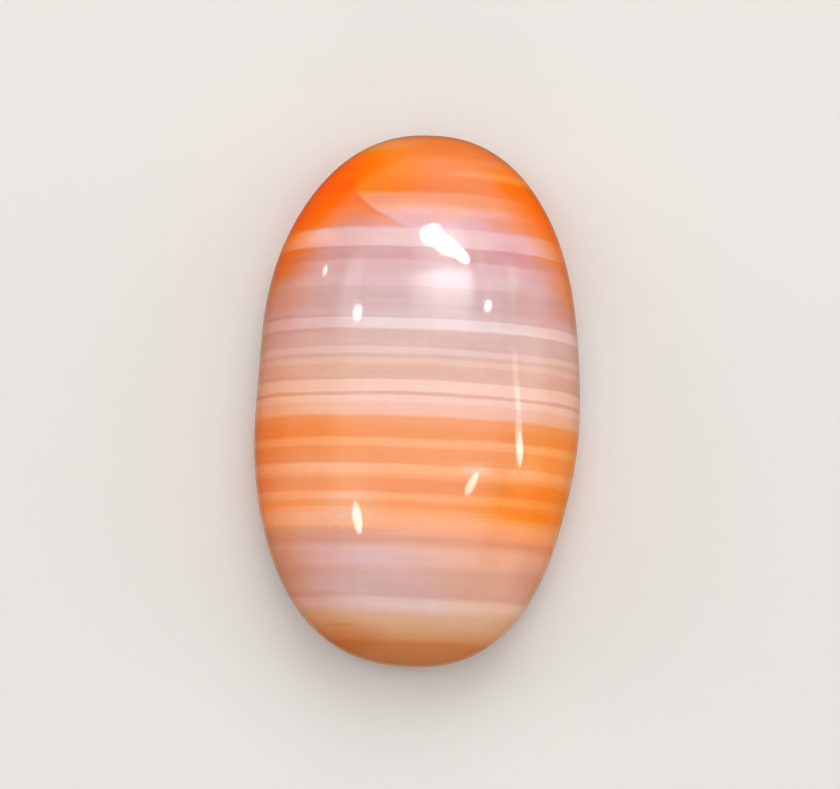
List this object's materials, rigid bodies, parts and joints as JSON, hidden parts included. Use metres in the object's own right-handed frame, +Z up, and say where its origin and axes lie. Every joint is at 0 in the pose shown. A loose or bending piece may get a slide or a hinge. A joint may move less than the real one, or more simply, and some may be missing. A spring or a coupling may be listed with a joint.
{
  "type": "agate cabochon",
  "caption": "Oval gemstone with a high polished dome, a rounded girdle and a flat ground base, in banded agate.",
  "frame": {"origin": "centre of the outline's box, on the flat base that the stone lies on", "axes": "+Y along the oval's long axis, +Z up from the base to the top of the dome, +X across the oval"},
  "size_m": [0.0152, 0.0252, 0.0075],
  "materials": {
    "banded_agate": "high polish"
  },
  "bodies": {
    "root": {"cabochon": "banded_agate"}
  },
  "joints": []
}
